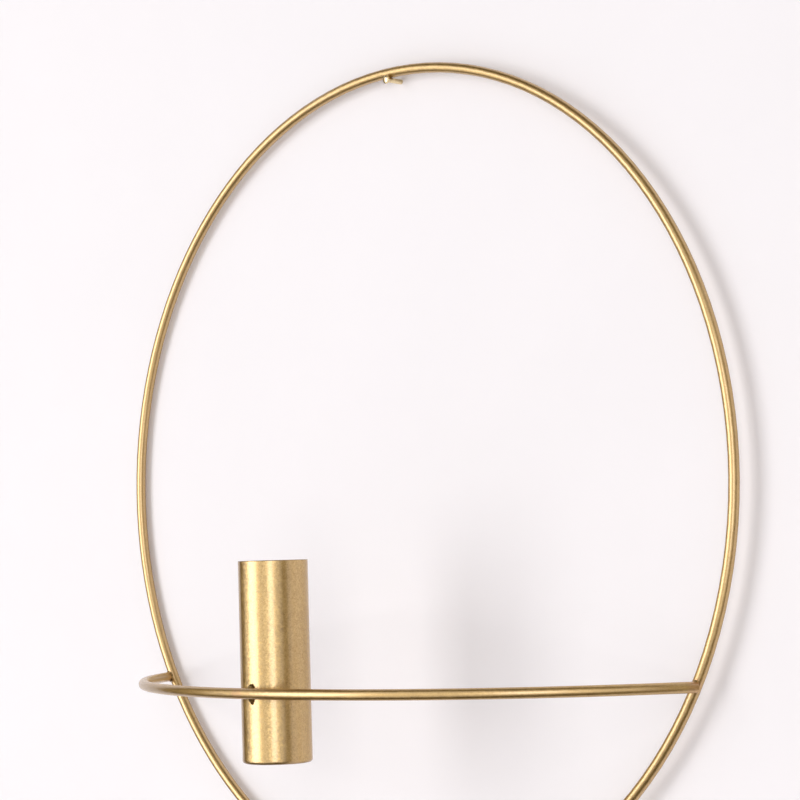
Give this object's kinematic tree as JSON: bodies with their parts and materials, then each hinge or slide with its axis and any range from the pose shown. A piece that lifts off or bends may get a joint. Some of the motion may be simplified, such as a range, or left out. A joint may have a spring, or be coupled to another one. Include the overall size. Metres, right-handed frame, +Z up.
{
  "type": "hanging wall vase",
  "caption": "Hanging wall vase: a round wire ring on a wall nail, with a level wire hoop in front that holds a slim upright tube for flower stems.",
  "frame": {"origin": "on the nail's axis, at the wall's surface, where the driven shank begins", "axes": "+Y along the nail into the wall, +Z up, +X to the right as seen from the room"},
  "size_m": [0.405, 0.1365, 0.4053],
  "materials": {
    "wire": "satin gold plating over bent steel wire",
    "vessel": "satin gold plating, faintly grained, over thin steel tube",
    "weld": "plated weld bead, uneven and a little darker than the wire",
    "brazing": "dark brown burnt brazing, dull and lumpy",
    "nail": "pale gold plated nail"
  },
  "bodies": {
    "nail": {"wall_nail": "nail"},
    "vase": {"ring_wire": "wire", "ring_seam_weld": "weld", "hoop_wire": "wire", "hoop_weld_left": "weld", "hoop_weld_right": "weld", "vessel_tube": "vessel", "vessel_base": "vessel", "vessel_weld_upper": "brazing", "vessel_weld_lower": "brazing"}
  },
  "joints": [
    {"name": "swing_on_nail", "type": "hinge", "parent": "nail", "child": "vase", "pos_m": [0, -0.007, 0], "axis": [0, 1, 0], "range_deg": [-20, 20]}
  ]
}
